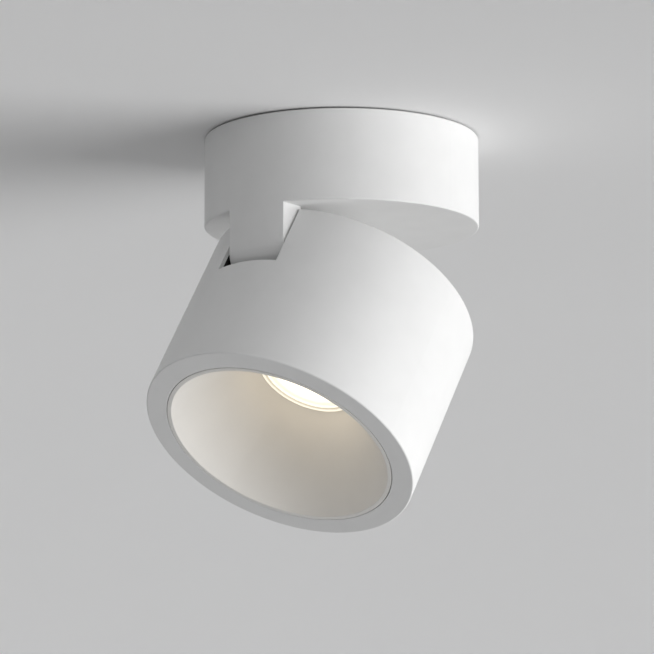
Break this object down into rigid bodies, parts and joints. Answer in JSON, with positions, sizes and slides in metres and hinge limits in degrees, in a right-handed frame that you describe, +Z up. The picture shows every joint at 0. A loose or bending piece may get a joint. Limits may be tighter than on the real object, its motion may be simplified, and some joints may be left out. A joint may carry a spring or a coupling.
{
  "type": "surface-mounted ceiling spotlight",
  "caption": "White round ceiling spotlight: a short cylindrical canopy with a wall lug carries an equally wide cylindrical head that tilts, with a deep white reflector cone and lens.",
  "frame": {"origin": "centre of the ceiling plate's upper face, which lies on the ceiling", "axes": "+Z up into the ceiling, -Y towards the hinge lug, X along the tilt hinge; the head stands at its pictured tilt"},
  "size_m": [0.09, 0.115, 0.1296],
  "materials": {
    "white_paint": "matte white powder coat with a very fine texture",
    "reflector_white": "satin white, smooth",
    "ring_plastic": "satin white",
    "lens": "frosted, lit warm white",
    "zinc_steel": "zinc-plated sheet",
    "spring_steel": "spring strip",
    "screw_steel": "plated screw",
    "black_steel": "matte black",
    "sink_aluminium": "die-cast, bare",
    "rubber": "moulded",
    "terminal_plastic": "moulded",
    "brass": "turned",
    "driver_plastic": "moulded",
    "circuit_board": "coated board",
    "washer_nylon": "smooth",
    "thermal_pad": "soft sheet",
    "led_board": "smooth",
    "phosphor": "smooth",
    "holder_plastic": "moulded"
  },
  "bodies": {
    "ceiling_mount": {"ceiling_plate": "zinc_steel", "cable_grommet": "rubber", "retaining_springs": "spring_steel", "spring_rivets": "zinc_steel", "terminal_block": "terminal_plastic", "terminal_screws": "brass", "terminal_fixing_screws": "screw_steel", "earth_screw": "brass"},
    "canopy": {"canopy_housing": "white_paint", "lug_grommet": "rubber", "driver_case": "driver_plastic", "driver_board": "circuit_board", "driver_lid": "driver_plastic", "driver_screws": "screw_steel"},
    "head": {"head_housing": "white_paint", "hinge_pin": "screw_steel", "friction_washers": "washer_nylon", "hinge_yoke": "black_steel", "yoke_screws": "screw_steel", "heat_sink": "sink_aluminium", "heat_sink_screws": "screw_steel", "thermal_pad": "thermal_pad", "cob_board": "led_board", "led_emitter": "phosphor", "cob_holder": "holder_plastic", "cob_holder_screws": "screw_steel", "lens": "lens", "lens_ring": "ring_plastic", "reflector": "reflector_white", "rear_cover": "white_paint", "rear_cover_screws": "screw_steel"}
  },
  "joints": [
    {"name": "canopy_swivel", "type": "hinge", "parent": "ceiling_mount", "child": "canopy", "pos_m": [0, 0, 0], "axis": [0, 0, 1], "range_deg": [-170, 170]},
    {"name": "head_tilt", "type": "hinge", "parent": "canopy", "child": "head", "pos_m": [0, -0.04, -0.0434], "axis": [-1, 0, 0], "range_deg": [-32.6, 57.4]}
  ]
}
